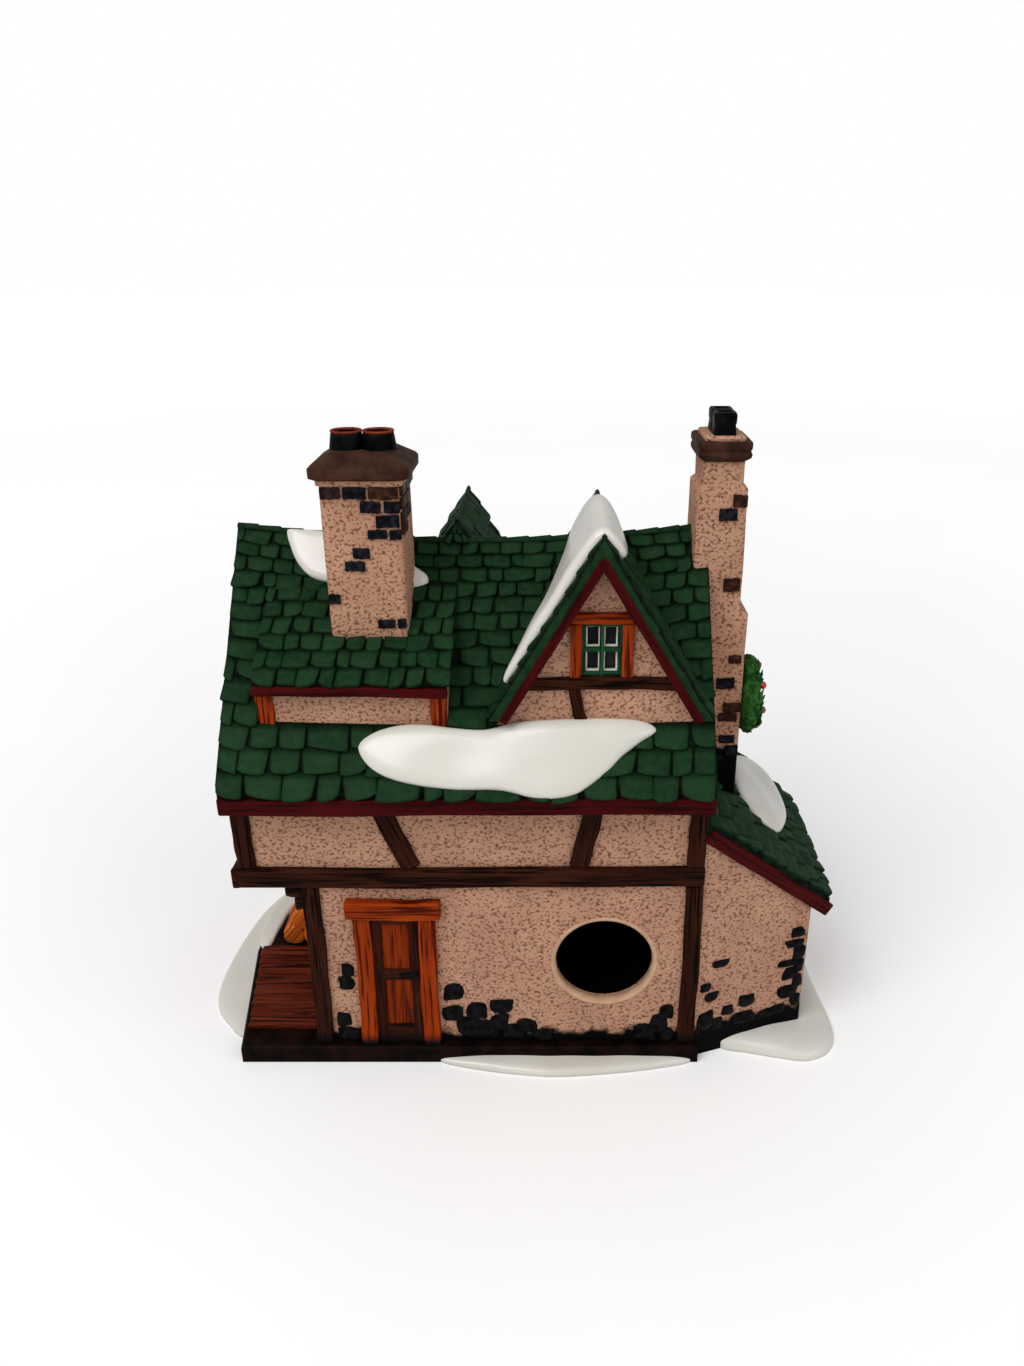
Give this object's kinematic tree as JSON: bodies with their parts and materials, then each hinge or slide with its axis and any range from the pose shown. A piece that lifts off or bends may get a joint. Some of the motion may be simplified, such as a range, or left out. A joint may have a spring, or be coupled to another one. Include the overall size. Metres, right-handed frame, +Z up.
{
  "type": "ceramic village house",
  "caption": "Hollow ceramic half-timbered cottage with a sagging shingled roof, gables, a shed dormer, chimneys and a lean-to, lit by a lamp put in through its rear wall.",
  "frame": {"origin": "on the ground, at the middle of the snow the house stands in", "axes": "+X to the right as the rear is seen, along the ridge; +Y from the rear with the lamp hole to the front; +Z up"},
  "size_m": [0.2236, 0.118, 0.2105],
  "materials": {
    "plinth": "matt dark underglaze",
    "snow": "glossy ivory-white glaze",
    "stucco": "matt tan stucco with brown wash",
    "roof_green": "satin dark green with near-black hollows",
    "maroon_boards": "satin maroon",
    "timber": "satin dark brown with grain",
    "orange_wood": "satin orange-brown with grain",
    "sash": "satin dark green",
    "door": "satin brown",
    "latch": "satin black",
    "dark_brick": "satin black",
    "chimney_cap": "satin dark brown",
    "chimney_pot": "satin black",
    "boardwalk": "satin red-brown",
    "firewood": "matt orange-brown",
    "wreath": "satin green",
    "berries": "gloss red"
  },
  "bodies": {
    "root": {"plinth": "plinth", "ground_snow": "snow", "rear_snow_drift": "snow", "eave_snow": "snow", "gable_snow": "snow", "chimney_snow": "snow", "lean_to_snow": "snow", "rear_wall": "stucco", "front_wall": "stucco", "left_wall": "stucco", "right_wall": "stucco", "rear_upper_wall": "stucco", "front_upper_wall": "stucco", "left_gable_wall": "stucco", "right_gable_wall": "stucco", "jetty_floor": "stucco", "lean_to_walls": "stucco", "shed_dormer_walls": "stucco", "cross_gable_wall": "stucco", "front_gable_wall": "stucco", "left_chimney_stack": "stucco", "right_chimney_stack": "stucco", "rear_roof_slope": "roof_green", "front_roof_slope": "roof_green", "ridge_tiles": "roof_green", "shed_dormer_roof": "roof_green", "cross_gable_roof": "roof_green", "front_gable_roof": "roof_green", "lean_to_roof": "roof_green", "rear_shingles": "roof_green", "front_shingles": "roof_green", "shed_dormer_shingles": "roof_green", "cross_gable_shingles": "roof_green", "front_gable_shingles": "roof_green", "lean_to_shingles": "roof_green", "fascias": "maroon_boards", "bargeboards": "maroon_boards", "bressummer_beam": "timber", "wall_posts": "timber", "wall_braces": "timber", "jetty_brackets": "timber", "cross_gable_timbers": "timber", "window_casings": "orange_wood", "rear_door_frame": "orange_wood", "front_door_frame": "orange_wood", "shed_dormer_posts": "orange_wood", "window_sashes": "sash", "rear_door": "door", "front_door": "door", "door_latches": "latch", "chimney_bricks": "dark_brick", "wall_stones": "dark_brick", "left_chimney_cap": "chimney_cap", "right_chimney_cap": "chimney_cap", "left_chimney_pots": "chimney_pot", "right_chimney_pots": "chimney_pot", "boardwalk": "boardwalk", "firewood": "firewood", "wreath": "wreath", "wreath_berries": "berries"}
  },
  "joints": []
}
